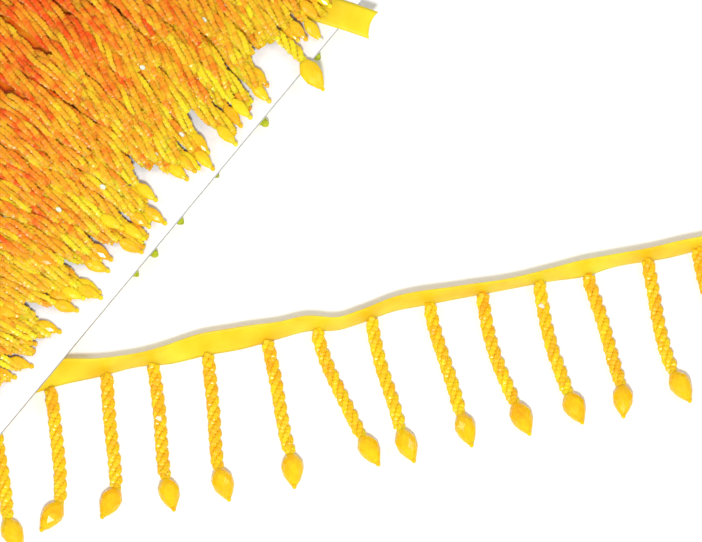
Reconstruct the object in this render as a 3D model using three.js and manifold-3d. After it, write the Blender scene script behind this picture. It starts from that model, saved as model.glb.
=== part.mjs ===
// Roll of beaded fringe: a satin tape with hanging strands of glass beads, wound round a flat white card
// that lies on its back. One end of the tape lies flat over the card's lower edge, and the other end is
// pulled out from under the card and runs off to the right, standing on its edge.
// Millimetres, +Z up, +X along the loose length. The card is turned in the plane of the table, so its
// pieces are drawn in the card's own frame: u along its lower edge, v up its height.

import * as THREE from 'three';
import Module from 'manifold-3d';

const wasm = await Module();
wasm.setup();

const { lerp, smoothstep, degToRad, clamp } = THREE.MathUtils;

// Driving sizes
const GAP = 0.3;
const TAPE_WIDTH = 10;
const TAPE_THICKNESS = 1;
const STRAND_WIDTH = 4.6;
const STRAND_HEIGHT = 4.2;
const TWIST_PITCH = 4;
const BEADS_LENGTH = 42;
const DROP_LENGTH = 12;
const DROP_WIDTH = 7.6;

// The card, and where its lower edge starts on the table
const CARD = { left: -35, right: 205, height: 118, thickness: 2, under: 8.8 };
const CARD_TOP = CARD.under + CARD.thickness;
const CARD_TURN = degToRad(52.08);
const CARD_AT = { x: 0.95, y: 35.35 };

// The wound turns on the front: a lumpy slab of inner turns with three rows of strands laid over it
const RIDGE_STEP = 5;
const RIDGE_DEPTH = 0.9;
const INNER = { left: -25, right: 195, low: 23, notch: 4, high: 110, top: 14.1 };
const FIRST_FLOOR = INNER.top + GAP;
const ROW_STEP = STRAND_HEIGHT + GAP;
const RAMP_LENGTH = 9;
const ROOTS = { left: -28, right: 198, stripWidth: 1.8, stripHeight: 2 };
const TIP_PITCH = 6.5;
const LOCK_GAP = 0.9;
const CLUMP_RISE = 6.5;
const TIP_UNEVENNESS = 1.5;

// Each row: the lower edge of its tape, the line that its tips reach, and its tips, listed one by one
// where they end in the open and given as clumps elsewhere. One strand's drop hangs over the card's edge
const ROWS = [
  {
    name: 'low', tapeAt: 53, tipsAt: 1,
    tips: [
      { u: -13.5, v: 4 }, { u: -7, v: 1.5 }, { u: -0.5, v: 5 }, { u: 6, v: 7 }, { u: 12.2, v: 9.9 },
      { u: 18.5, v: 6.9 }, { u: 25, v: 5.1 }, { u: 32.5, v: 9 }, { u: 39.2, v: 5 }, { u: 48, v: 4.8 },
      { u: 55.5, v: 1.3 }, { u: 63.5, v: 6 }, { u: 70, v: 10 }, { u: 76.8, v: 0.8 }, { u: 83.3, v: 5 },
      { u: 89.8, v: 1.2 }, { u: 96, v: 8 }, { u: 104, v: 8 }, { u: 110.5, v: 3 }, { u: 117, v: 2 },
      { u: 125, v: 0 }, { u: 131.5, v: 3 }, { u: 138, v: 2 }, { u: 144.5, v: 0.4 }, { u: 151, v: 5 },
      { u: 161.8, v: -10.1 }, { u: 168.5, v: 8 }, { u: 175, v: 0.7 }, { u: 181.5, v: 4 }, { u: 188, v: 7 },
    ],
  },
  {
    name: 'mid', tapeAt: 74, tipsAt: 23,
    clumps: [
      { u: -8, count: 3 }, { u: 19, count: 4 }, { u: 42, count: 3 }, { u: 66, count: 4 },
      { u: 95, count: 4 }, { u: 124, count: 4 }, { u: 152, count: 3 }, { u: 178, count: 3 },
    ],
  },
  {
    name: 'top', tapeAt: 95, tipsAt: 43,
    clumps: [
      { u: -2, count: 3 }, { u: 24, count: 3 }, { u: 54, count: 4 }, { u: 81, count: 4 },
      { u: 104, count: 3 }, { u: 131, count: 4 }, { u: 160, count: 4 }, { u: 184, count: 3 },
    ],
  },
];

// How far past the card's edge that one drop reaches, and how much it droops there
const OVERHANG = { tipV: -10.1, droop: 2.6 };

// The turns under the card: a lumpy slab on a flat spot, raised at its left end over the loose tape
const BACK = { left: -20, right: 190, low: 14, high: 108, raisedTo: 5.7 };
const FLAT_SPOT = { left: 70, right: 170, low: 40, high: 85 };
const BACK_LINES = [14, 27, 40, 62, 85, 97, 108];
const LOCKS = { first: -15, last: 185, pitch: 8, raisedBefore: 52 };

// The tape's inner end, as places of its middle line on the card, and the hollow of its cut
const TAPE_END = [
  { u: 167, v: 58, z: CARD_TOP + GAP },
  { u: 170, v: 48, z: CARD_TOP + GAP },
  { u: 175, v: 33, z: CARD_TOP + GAP },
  { u: 180.3, v: 18, z: CARD_TOP + GAP },
  { u: 184.8, v: 5, z: CARD_TOP + GAP },
  { u: 187.3, v: -2, z: CARD_TOP + GAP - 0.1 },
  { u: 189.8, v: -8.8, z: CARD_TOP + GAP - 0.8 },
];
const CUT_HOLLOW = 1.2;

// The loose tape: its lower edge on the table, and how far it leans up from lying flat, in degrees
const LOOSE_TAPE = [
  { x: -58, y: 45.5, z: 4.2, lean: 0 },
  { x: -50, y: 45, z: 2.6, lean: 0 },
  { x: -40, y: 44.5, z: 0.3, lean: 0 },
  { x: -20, y: 45.2, z: 0, lean: 3 },
  { x: -2, y: 48.6, z: 0, lean: 10 },
  { x: 9, y: 52, z: 0, lean: 22 },
  { x: 21, y: 56.2, z: 0, lean: 48 },
  { x: 33, y: 59.2, z: 0, lean: 72 },
  { x: 46, y: 62.8, z: 0, lean: 84 },
  { x: 57, y: 63.8, z: 0, lean: 71 },
  { x: 69, y: 66.7, z: 0, lean: 61 },
  { x: 80, y: 68.8, z: 0, lean: 62 },
  { x: 93, y: 72.7, z: 0, lean: 77 },
  { x: 102, y: 75.3, z: 0, lean: 80 },
  { x: 113, y: 75.9, z: 0, lean: 86 },
  { x: 120, y: 78.2, z: 0, lean: 84 },
  { x: 132, y: 80.7, z: 0, lean: 72 },
  { x: 140, y: 83.6, z: 0, lean: 80 },
  { x: 154, y: 86.2, z: 0, lean: 86 },
  { x: 166, y: 88.3, z: 0, lean: 88 },
  { x: 184, y: 93.2, z: 0, lean: 87 },
  { x: 194, y: 94.6, z: 0, lean: 77 },
  { x: 204, y: 98, z: 0, lean: 86 },
  { x: 224, y: 101.7, z: 0, lean: 83 },
  { x: 236, y: 105.2, z: 0, lean: 88 },
  { x: 258, y: 112, z: 0, lean: 82 },
];
const LOOSE_STATIONS = 46;

// The loose strands: where each hangs from the tape, and the way it points in degrees off straight
// down the page, at its root, at its last bead and along its drop. The plain ones lie under the card
const LOOSE_STRANDS = [
  { x: -38.5, root: 2, end: -4, drop: 6, plain: true },
  { x: -20, root: 4, end: 0, drop: -8, plain: true },
  { x: -1.7, root: 7, end: 6, drop: 25 },
  { x: 16.3, root: 13, end: -4, drop: -32 },
  { x: 35, root: 8, end: 1.5, drop: -25 },
  { x: 51, root: 4.5, end: 7.5, drop: 12 },
  { x: 69.3, root: 1.5, end: 8.5, drop: 16 },
  { x: 88.7, root: 7.5, end: 14.5, drop: 2 },
  { x: 105.7, root: 14, end: 30, drop: 28 },
  { x: 123.7, root: 11.5, end: 16.5, drop: 24 },
  { x: 143, root: 13, end: 17, drop: 19 },
  { x: 160.3, root: 10, end: 22, drop: 26 },
  { x: 179, root: 10.5, end: 17.5, drop: 27 },
  { x: 195.3, root: 14.5, end: 18, drop: -2 },
  { x: 215.3, root: 7.5, end: 17, drop: 28 },
  { x: 232, root: 10, end: 14, drop: 18 },
  { x: 250, root: 9, end: 12, drop: 8 },
];
const LOOSE_STRIP = { width: 1.2, height: 1.8 };

const MATERIALS = {
  card: new THREE.MeshStandardMaterial({ color: 0xf4f4f2, roughness: 0.6, metalness: 0 }),
  tape: new THREE.MeshStandardMaterial({ color: 0xf7c531, roughness: 0.4, metalness: 0 }),
  beads: new THREE.MeshStandardMaterial({ color: 0xf6ab1f, roughness: 0.15, metalness: 0 }),
};

const point = (x, y, z) => new THREE.Vector3(x, y, z);
const UP = point(0, 0, 1);

// A repeatable unevenness between -1 and 1
const uneven = (number, kind) => Math.sin(number * 12.9898 + kind * 78.233);

// A closed geometry from shared points, with its faces turned out
function closedGeometry(points, index) {
  let volume = 0;
  for (let t = 0; t < index.length; t += 3) {
    const [a, b, c] = [points[index[t]], points[index[t + 1]], points[index[t + 2]]];
    volume += a.dot(b.clone().cross(c));
  }
  const geometry = new THREE.BufferGeometry().setFromPoints(points);
  geometry.setIndex(volume < 0 ? index.slice().reverse() : index);
  geometry.computeVertexNormals();
  return geometry;
}

// A solid between a top and a bottom face, each a grid of points over the same lines
function slabGeometry(columns, lines, top, bottom) {
  const points = [];
  for (const face of [top, bottom]) {
    for (const column of columns) {
      for (const line of lines) points.push(face(column, line));
    }
  }
  const last = { i: columns.length - 1, j: lines.length - 1 };
  const at = (side, i, j) => (side * columns.length + i) * lines.length + j;
  const index = [];
  const quad = (a, b, c, d) => index.push(a, b, c, a, c, d);
  for (let i = 0; i < last.i; i++) {
    for (let j = 0; j < last.j; j++) {
      quad(at(0, i, j), at(0, i + 1, j), at(0, i + 1, j + 1), at(0, i, j + 1));
      quad(at(1, i, j), at(1, i, j + 1), at(1, i + 1, j + 1), at(1, i + 1, j));
    }
    quad(at(0, i, 0), at(1, i, 0), at(1, i + 1, 0), at(0, i + 1, 0));
    quad(at(0, i, last.j), at(0, i + 1, last.j), at(1, i + 1, last.j), at(1, i, last.j));
  }
  for (let j = 0; j < last.j; j++) {
    quad(at(0, 0, j), at(0, 0, j + 1), at(1, 0, j + 1), at(1, 0, j));
    quad(at(0, last.i, j), at(1, last.i, j), at(1, last.i, j + 1), at(0, last.i, j + 1));
  }
  return closedGeometry(points, index);
}

// A solid lofted through rings of as many points each, closed at both ends
function loftGeometry(rings) {
  const sides = rings[0].length;
  const last = (rings.length - 1) * sides;
  const index = [];
  for (let r = 0; r + 1 < rings.length; r++) {
    for (let s = 0; s < sides; s++) {
      const a = r * sides + s;
      const b = r * sides + ((s + 1) % sides);
      index.push(a, b, b + sides, a, b + sides, a + sides);
    }
  }
  for (let s = 1; s + 1 < sides; s++) {
    index.push(0, s + 1, s);
    index.push(last, last + s, last + s + 1);
  }
  return closedGeometry(rings.flat(), index);
}

// A four-sided strand through sections, each with its middle, width, height and level side direction
function strandGeometry(sections) {
  const rings = sections.map(({ middle, side, width, height }) => [
    middle.clone().addScaledVector(side, width / 2),
    middle.clone().addScaledVector(UP, height / 2),
    middle.clone().addScaledVector(side, -width / 2),
    middle.clone().addScaledVector(UP, -height / 2),
  ]);
  return loftGeometry(rings);
}

function fuse(geometries) {
  const solids = geometries.map((geometry) => new wasm.Manifold(new wasm.Mesh({
    numProp: 3,
    vertProperties: geometry.attributes.position.array,
    triVerts: Uint32Array.from(geometry.index.array),
  })));
  const mesh = solids.reduce((whole, solid) => whole.add(solid)).getMesh();
  const fused = new THREE.BufferGeometry();
  fused.setAttribute('position', new THREE.BufferAttribute(mesh.vertProperties, 3));
  fused.setIndex(new THREE.BufferAttribute(mesh.triVerts, 1));
  fused.computeVertexNormals();
  return fused;
}

function evenSteps(from, to, step) {
  const count = Math.round((to - from) / step);
  return Array.from({ length: count + 1 }, (_, i) => from + i * step);
}

// Card

function cardGeometry() {
  const geometry = new THREE.BoxGeometry(CARD.right - CARD.left, CARD.height, CARD.thickness);
  geometry.translate((CARD.left + CARD.right) / 2, CARD.height / 2, CARD.under + CARD.thickness / 2);
  return geometry;
}

// Wound tape: a band over the front, round the card's side edges, with its ends folded under the card

function headerGeometry(tapeAt) {
  const inner = { left: CARD.left - GAP, right: CARD.right + GAP, low: CARD.under - GAP, high: FIRST_FLOOR };
  const wall = { side: 4, back: 3, front: STRAND_HEIGHT };
  const outer = {
    left: inner.left - wall.side, right: inner.right + wall.side,
    low: inner.low - wall.back, high: inner.high + wall.front,
  };
  const round = 3;
  const quarter = Math.PI / 2;
  const shape = new THREE.Shape();
  shape.moveTo(BACK.left - GAP, outer.low);
  shape.absarc(outer.left + round, outer.low + round, round, -quarter, -2 * quarter, true);
  shape.absarc(outer.left + round, outer.high - round, round, -2 * quarter, -3 * quarter, true);
  shape.absarc(outer.right - round, outer.high - round, round, quarter, 0, true);
  shape.absarc(outer.right - round, outer.low + round, round, 0, -quarter, true);
  shape.lineTo(BACK.right + GAP, outer.low);
  shape.lineTo(BACK.right + GAP, inner.low);
  shape.lineTo(inner.right, inner.low);
  shape.lineTo(inner.right, inner.high);
  shape.lineTo(inner.left, inner.high);
  shape.lineTo(inner.left, inner.low);
  shape.lineTo(BACK.left - GAP, inner.low);
  const geometry = new THREE.ExtrudeGeometry(shape, { depth: TAPE_WIDTH, bevelEnabled: false, curveSegments: 4 });
  geometry.rotateX(Math.PI / 2);
  geometry.translate(0, tapeAt + TAPE_WIDTH, 0);
  return geometry;
}

// Front: the floor that the strands of each row lie on, row upon row like shingles

const tapeLift = (u) => (TAPE_THICKNESS + GAP) * smoothstep(u, 154, 160);

function floorUnder(level, u, v) {
  if (level === 0) {
    const low = CARD_TOP + GAP + tapeLift(u);
    const climb = clamp((v - 14) / 12, 0, 1);
    const over = Math.max(0, 2 - v) / (2 - OVERHANG.tipV);
    return lerp(low, FIRST_FLOOR, climb) - OVERHANG.droop * over * over;
  }
  const rampFrom = ROWS[level - 1].tapeAt + TAPE_WIDTH + 1 + RAMP_LENGTH;
  const climb = clamp((rampFrom - v) / RAMP_LENGTH, 0, 1);
  const below = floorUnder(level - 1, u, Math.max(v, 26));
  return lerp(FIRST_FLOOR, below + ROW_STEP, climb);
}

// The lines across a row where its floor changes slope
const FLOOR_BREAKS = [[39, 26, 14], [64, 45], [85, 73, 64, 52]];

// Tip places of a row, as listed or clump by clump: the middle strands of a clump reach lowest
function tipPlaces(row, level) {
  if (row.tips) return row.tips;
  const tips = [];
  for (const [number, clump] of row.clumps.entries()) {
    const middle = (clump.count - 1) / 2;
    const skew = 0.45 * uneven(number, level);
    for (let i = 0; i < clump.count; i++) {
      const out = i - middle;
      const roughness = TIP_UNEVENNESS * (1 + uneven(tips.length, 3 + level));
      const rise = CLUMP_RISE * Math.abs(out - skew) + roughness;
      tips.push({ u: clump.u + out * TIP_PITCH, v: row.tipsAt + rise });
    }
  }
  return tips;
}

// The strands of a row close up from their roots to their tips, as wide there as their pitch allows
function rowStrand(level, root, tip, rootPitch) {
  const closing = (v) => {
    const share = clamp((root.v - v) / (root.v - ROWS[level].tipsAt), 0, 1);
    return 0.4 * share + 0.6 * smoothstep(share, 0, 1);
  };
  const along = (v) => lerp(root.u, tip.u, closing(v));
  const neck = tip.v + DROP_LENGTH;
  const body = FLOOR_BREAKS[level].filter((v) => v > neck + 3).map((v) => (
    { v, width: lerp(rootPitch, TIP_PITCH, closing(v)) - LOCK_GAP, height: STRAND_HEIGHT }
  ));
  const stations = [
    ...body,
    { v: neck + 1.5, width: 4.4, height: 3.6 },
    { v: neck - 1, width: 2.4, height: 2 },
    { v: neck - 5.5, width: 5.3, height: STRAND_HEIGHT },
    { v: tip.v, width: 1.2, height: 1.2 },
  ];
  const sections = stations.map(({ v, width, height }) => ({
    middle: point(along(v), v, floorUnder(level, along(v), v) + STRAND_HEIGHT / 2),
    side: point(1, 0, 0), width, height,
  }));
  sections.unshift({
    middle: point(root.u, root.v, FIRST_FLOOR + ROOTS.stripHeight / 2),
    side: point(1, 0, 0), width: 3, height: ROOTS.stripHeight - 0.4,
  });
  return strandGeometry(sections);
}

function rowGeometry(row, level) {
  const tips = tipPlaces(row, level);
  const strip = new THREE.BoxGeometry(ROOTS.right - ROOTS.left + 6, ROOTS.stripWidth, ROOTS.stripHeight);
  const stripAt = row.tapeAt - GAP - ROOTS.stripWidth / 2;
  strip.translate((ROOTS.left + ROOTS.right) / 2, stripAt, FIRST_FLOOR + ROOTS.stripHeight / 2);
  const pitch = (ROOTS.right - ROOTS.left) / (tips.length - 1);
  const strands = tips.map((tip, i) => (
    rowStrand(level, { u: ROOTS.left + i * pitch, v: stripAt }, tip, pitch)
  ));
  return fuse([merged(strip), ...strands]);
}

// A box geometry with one point at each corner
function merged(box) {
  const corners = [];
  const index = [];
  const place = box.attributes.position;
  for (const vertex of box.index.array) {
    const corner = point(place.getX(vertex), place.getY(vertex), place.getZ(vertex));
    const known = corners.findIndex((other) => other.distanceTo(corner) < 1e-4);
    index.push(known < 0 ? corners.push(corner) - 1 : known);
  }
  return closedGeometry(corners, index);
}

// Front: the inner turns, ridged along the strands and notched between the low row's clumps

const ridgeAt = (u) => (Math.round(u / RIDGE_STEP) % 2 === 0 ? 0 : RIDGE_DEPTH);

function innerTurnsGeometry() {
  const columns = evenSteps(INNER.left, INNER.right, RIDGE_STEP);
  const lines = [0, 0.09, 0.25, 0.45, 0.7, 0.94, 1];
  const rim = (u) => INNER.low + INNER.notch * Math.abs(Math.sin(u * Math.PI / 28));
  const height = (u, line) => lerp(rim(u), INNER.high, line);
  const top = (u, line) => {
    const v = height(u, line);
    const slope = line === 1 ? 1.5 : 0;
    const edge = line === 0 ? 0.3 : 1;
    return point(u, v, floorUnder(0, u, v) - GAP - ridgeAt(u) * edge * (line < 0.9 ? 1 : 0) - slope);
  };
  const bottom = (u, line) => point(u, height(u, line), CARD_TOP + GAP + tapeLift(u));
  return slabGeometry(columns, lines, top, bottom);
}

// Underside: the turns there, with locks of strands at the lower rim

function backUnder(u, v) {
  const outU = Math.max(FLAT_SPOT.left - u, u - FLAT_SPOT.right, 0);
  const outV = Math.max(FLAT_SPOT.low - v, v - FLAT_SPOT.high, 0);
  if (outU + outV === 0) return 0;
  const raised = BACK.raisedTo * clamp((FLAT_SPOT.left - u) / 20, 0, 1);
  const rim = 3.2 * smoothstep(outV, 0, 26) + 2.4 * smoothstep(u - FLAT_SPOT.right, 0, 20);
  return Math.max(raised, 0.3 + rim + 0.5 * ridgeAt(u));
}

function backTurnsGeometry() {
  const columns = evenSteps(BACK.left, BACK.right, RIDGE_STEP);
  const top = (u, v) => point(u, v, CARD.under - GAP);
  const bottom = (u, v) => point(u, v, backUnder(u, v));
  const slab = slabGeometry(columns, BACK_LINES, top, bottom);
  const locks = evenSteps(LOCKS.first, LOCKS.last, LOCKS.pitch).map(backLock);
  return fuse([slab, ...locks]);
}

function backLock(u, number) {
  const high = u < LOCKS.raisedBefore;
  const section = (v, z, width, height) => ({ middle: point(u, v, z), side: point(1, 0, 0), width, height });
  if (high) {
    const tip = 9.5 + uneven(number, 9);
    return strandGeometry([section(18, 7.2, 4, 1.8), section(tip + 2, 7.2, 4.4, 2), section(tip, 7.2, 1, 1)]);
  }
  const tip = 1.5 + 2.5 * uneven(number, 8);
  return strandGeometry([
    section(18, 6, STRAND_WIDTH, 3.4), section(tip + 9, 4.6, STRAND_WIDTH, 3.6),
    section(tip + 4.5, 4, 6, 4.4), section(tip, 3.6, 1.2, 1.2),
  ]);
}

// The flat inner end of the tape

function tapeEndGeometry() {
  const across = [-1, -0.5, 0, 0.5, 1];
  const stations = TAPE_END.map((_, i) => i);
  const face = (offset) => (i, side) => {
    const here = TAPE_END[i];
    const next = TAPE_END[Math.min(i + 1, TAPE_END.length - 1)];
    const last = TAPE_END[Math.max(i - 1, 0)];
    const heading = point(next.u - last.u, next.v - last.v, 0).normalize();
    const hollow = i === TAPE_END.length - 1 ? CUT_HOLLOW * (1 - side * side) : 0;
    return point(
      here.u - heading.y * side * TAPE_WIDTH / 2 - heading.x * hollow,
      here.v + heading.x * side * TAPE_WIDTH / 2 - heading.y * hollow,
      here.z + offset,
    );
  };
  return slabGeometry(stations, across, face(TAPE_THICKNESS), face(0));
}

// The loose length: a route along the tape's lower edge, read by the tape, its strip and its strands

const edgeRoute = new THREE.CatmullRomCurve3(LOOSE_TAPE.map(({ x, y, z }) => point(x, y, z)), false, 'centripetal');
const leanRoute = new THREE.CatmullRomCurve3(LOOSE_TAPE.map(({ x, lean }) => point(x, lean, 0)), false, 'chordal');

function looseFrame(t) {
  const place = edgeRoute.getPoint(t);
  place.z = Math.max(place.z, 0);
  const heading = edgeRoute.getTangent(t).setZ(0).normalize();
  const back = point(-heading.y, heading.x, 0);
  const lean = degToRad(clamp(leanRoute.getPoint(t).y, 0, 90));
  return {
    place, back, lean,
    across: back.clone().multiplyScalar(Math.cos(lean)).addScaledVector(UP, Math.sin(lean)),
    out: back.clone().multiplyScalar(-Math.sin(lean)).addScaledVector(UP, Math.cos(lean)),
  };
}

function looseTapeGeometry() {
  const stations = evenSteps(0, 1, 1 / LOOSE_STATIONS);
  const face = (offset) => (t, share) => {
    const { place, across, out } = looseFrame(t);
    return place.clone().addScaledVector(across, share * TAPE_WIDTH).addScaledVector(out, offset);
  };
  return slabGeometry(stations, [0, 0.5, 1], face(TAPE_THICKNESS), face(0));
}

// The strip of strand roots along the front of the tape's lower edge
function stripPoint(t, forward, height) {
  const { place, back, lean } = looseFrame(t);
  const front = TAPE_THICKNESS * Math.sin(lean) + GAP + forward;
  return place.clone().addScaledVector(back, -front).addScaledVector(UP, height);
}

function looseStripGeometry() {
  const rings = evenSteps(0.04, 1, 0.96 / LOOSE_STATIONS).map((t) => [
    stripPoint(t, 0, 0), stripPoint(t, LOOSE_STRIP.width, 0),
    stripPoint(t, LOOSE_STRIP.width, LOOSE_STRIP.height), stripPoint(t, 0, LOOSE_STRIP.height),
  ]);
  return loftGeometry(rings);
}

// The share of the route where its lower edge passes a place along X
function routeShareAt(x) {
  let [low, high] = [0, 1];
  for (let i = 0; i < 30; i++) {
    const middle = (low + high) / 2;
    if (edgeRoute.getPoint(middle).x < x) low = middle;
    else high = middle;
  }
  return low;
}

// Sections of a strand on the table: beads twisted in pairs, a neck, and a pointed drop
function looseSections(plain) {
  const sections = [];
  for (let along = 1; along < BEADS_LENGTH; along += plain ? 4 * TWIST_PITCH : TWIST_PITCH / 2) {
    const wide = plain || sections.length % 2 === 0;
    sections.push({ along, width: wide ? 4.9 : 3.5, height: wide ? 4.4 : 3.6, rest: wide ? 0 : 0.3 });
  }
  sections.push({ along: BEADS_LENGTH, width: 2, height: 2, rest: 1.6 });
  sections.push({ along: BEADS_LENGTH + 4.5, width: DROP_WIDTH, height: 6.2, rest: 0 });
  sections.push({ along: BEADS_LENGTH + 8.5, width: 5, height: 4.4, rest: 0.7 });
  sections.push({ along: BEADS_LENGTH + DROP_LENGTH, width: 1.6, height: 1.6, rest: 1.8 });
  return sections;
}

function looseStrandGeometry(strand) {
  const start = stripPoint(routeShareAt(strand.x), LOOSE_STRIP.width / 2, 0);
  const sections = [];
  let place = start.clone();
  let walked = 0;
  for (const { along, width, height, rest } of looseSections(strand.plain)) {
    const share = clamp(along / BEADS_LENGTH, 0, 1);
    const degrees = along > BEADS_LENGTH ? strand.drop : lerp(strand.root, strand.end, share);
    const turn = degToRad(degrees);
    place = place.clone().addScaledVector(point(Math.sin(turn), -Math.cos(turn), 0), along - walked);
    walked = along;
    const middle = place.clone().setZ(rest + height / 2);
    sections.push({ middle, side: point(Math.cos(turn), Math.sin(turn), 0), width, height });
  }
  sections.unshift({
    middle: start.clone().setZ(LOOSE_STRIP.height / 2), side: point(1, 0, 0),
    width: 2.4, height: LOOSE_STRIP.height - 0.4,
  });
  return strandGeometry(sections);
}

// Assembly

function piece(name, geometry, material) {
  const mesh = new THREE.Mesh(geometry, material);
  mesh.name = name;
  return mesh;
}

const wound = new THREE.Group();
wound.position.set(CARD_AT.x, CARD_AT.y, 0);
wound.rotation.z = CARD_TURN;
wound.add(piece('card', cardGeometry(), MATERIALS.card));
wound.add(piece('front_turns', innerTurnsGeometry(), MATERIALS.beads));
wound.add(piece('back_turns', backTurnsGeometry(), MATERIALS.beads));
for (const [level, row] of ROWS.entries()) {
  wound.add(piece(`header_${row.name}`, headerGeometry(row.tapeAt), MATERIALS.tape));
  wound.add(piece(`strands_${row.name}`, rowGeometry(row, level), MATERIALS.beads));
}
wound.add(piece('tape_end', tapeEndGeometry(), MATERIALS.tape));

const loose = new THREE.Group();
loose.add(piece('loose_tape', looseTapeGeometry(), MATERIALS.tape));
const looseStrands = fuse([looseStripGeometry(), ...LOOSE_STRANDS.map(looseStrandGeometry)]);
loose.add(piece('loose_strands', looseStrands, MATERIALS.beads));

// The whole is set down with its origin under the middle of its box
const roll = new THREE.Group();
roll.name = 'roll_of_beaded_fringe';
roll.add(wound, loose);
roll.updateMatrixWorld(true);
const box = new THREE.Box3().setFromObject(roll, true);
const middle = box.getCenter(point(0, 0, 0));
roll.position.set(-middle.x, -middle.y, -box.min.z);

export default roll;
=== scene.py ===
"""The looks of a roll of beaded fringe: glass bead strands on satin tape, wound round a white card."""

import math

import bpy
import numpy as np
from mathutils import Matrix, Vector


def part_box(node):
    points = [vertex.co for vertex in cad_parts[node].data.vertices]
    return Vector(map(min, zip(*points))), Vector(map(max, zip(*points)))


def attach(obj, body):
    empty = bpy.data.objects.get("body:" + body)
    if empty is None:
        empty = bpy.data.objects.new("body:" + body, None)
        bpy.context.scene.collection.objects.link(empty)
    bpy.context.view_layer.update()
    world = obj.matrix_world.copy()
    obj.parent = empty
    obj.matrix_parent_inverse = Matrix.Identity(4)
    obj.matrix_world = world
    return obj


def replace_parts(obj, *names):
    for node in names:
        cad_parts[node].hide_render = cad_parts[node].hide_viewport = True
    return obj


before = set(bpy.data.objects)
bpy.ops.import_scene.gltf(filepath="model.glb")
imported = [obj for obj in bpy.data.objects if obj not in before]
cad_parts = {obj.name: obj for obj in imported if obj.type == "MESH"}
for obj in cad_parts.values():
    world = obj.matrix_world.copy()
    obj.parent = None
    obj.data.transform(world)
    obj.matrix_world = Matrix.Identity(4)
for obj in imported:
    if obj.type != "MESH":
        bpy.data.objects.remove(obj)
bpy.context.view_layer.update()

# Lengths below are in millimetres, and meshes are scaled to metres as they are made
MM = 0.001

# The card and its own frame: u along its lower edge, v up its height
CARD_TURN = math.radians(52.08)
CARD_LEFT, CARD_RIGHT, CARD_HEIGHT = -35.0, 205.0, 118.0
CARD_UNDER, CARD_TOP = 8.8, 10.8
CARD_START = np.array([0.95, 35.35, 0.0])
ALONG_U = np.array([math.cos(CARD_TURN), math.sin(CARD_TURN), 0.0])
ALONG_V = np.array([-math.sin(CARD_TURN), math.cos(CARD_TURN), 0.0])
UP = np.array([0.0, 0.0, 1.0])
ALONG_X = np.array([1.0, 0.0, 0.0])

# Tape and strands
TAPE_WIDTH = 10.0
TAPE_THICKNESS = 0.45
BEAD_STEP, BEAD_RADIUS = 1.5, 1.12
STRINGS, TWIST_RADIUS, TWIST_TURN = 3, 1.25, 11.7
STRAND_RADIUS = TWIST_RADIUS + BEAD_RADIUS
DROP_LENGTH, DROP_RADIUS = 10.6, 3.75
SMALL_DROP_LENGTH, SMALL_DROP_RADIUS = 7.6, 2.1
TIP_BEAD = 1.8
BEADS_LENGTH = 42.0
ROW_TWIST = (16.0, 34.0)
LINE_STEP = 0.5

# The front rows: turns of fringe that overlap like shingles, with roots from ROOT_LEFT to ROOT_RIGHT.
# The solids have three of them, at whole levels, and the beads fill the turns between as well.
# A turn's row gives its part, its level and how many strands it has.
SLAB_TOP = 14.1
GAP = 0.3
ROW_STEP = 4.5
RAMP_LENGTH = 9.0
# The strands climb onto the inner turns between these places up the card, those above them from the third
CLIMB_FROM, CLIMB_TO, UPPER_FROM = 12.0, 28.0, 26.0
TAPE_LOWEST, TAPE_PITCH = 53.0, 21.0
ROOT_LEFT, ROOT_RIGHT = -28.0, 198.0
STRAND_REACH = 52.0
HIDDEN_SHARE = 0.32
TURNS = [("low", 0.0, 76), ("low", 0.5, 56), ("mid", 1.0, 52), ("mid", 1.5, 52), ("top", 2.0, 56)]

# The bands of wound tape, whose layers lie closer together under the card by UNDER_SHARE
HEADERS = [("low", 53.0), ("mid", 74.0), ("top", 95.0)]
HEADER_LAYERS, HEADER_ROWS = 5, 5
LAYER_GAP, LAYER_STEP, LAYER_THICKNESS, UNDER_SHARE = 0.15, 0.8, 0.42, 0.6
SIDE_BEND_RADIUS = 1.2
BEND_STATIONS, BAND_STATIONS = 7, 60

# The turns under the front rows, and those packed under a level's strands: part, level and v from and to
INNER_LEFT, INNER_RIGHT, INNER_LOW, INNER_HIGH = -25.0, 195.0, 28.0, 110.0
INNER_STEP, INNER_ROWS, INNER_RELIEF = 1.15, 66, 2.2
PACKED = [("mid", 1, 42.0, 72.0), ("top", 2, 60.0, 93.4)]
PACKED_TOP, PACKED_BOTTOM, PACKED_RELIEF = 0.1, 1.6, 0.6

# How far strands lean sideways along u for each millimetre they fall, at places of their roots
LEAN = [(-28.0, 0.3), (15.0, 0.34), (95.0, 0.0), (140.0, -0.16), (198.0, -0.16)]

# Painted shade: tones of beads at places up the card, yellow at the tips and deep orange towards the top,
# where the strands lie deeper
DEPTH_SHADE_TONES = [(0.0, 0.2), (15.0, 0.36), (45.0, 0.62), (85.0, 0.92), (110.0, 1.0)]

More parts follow.
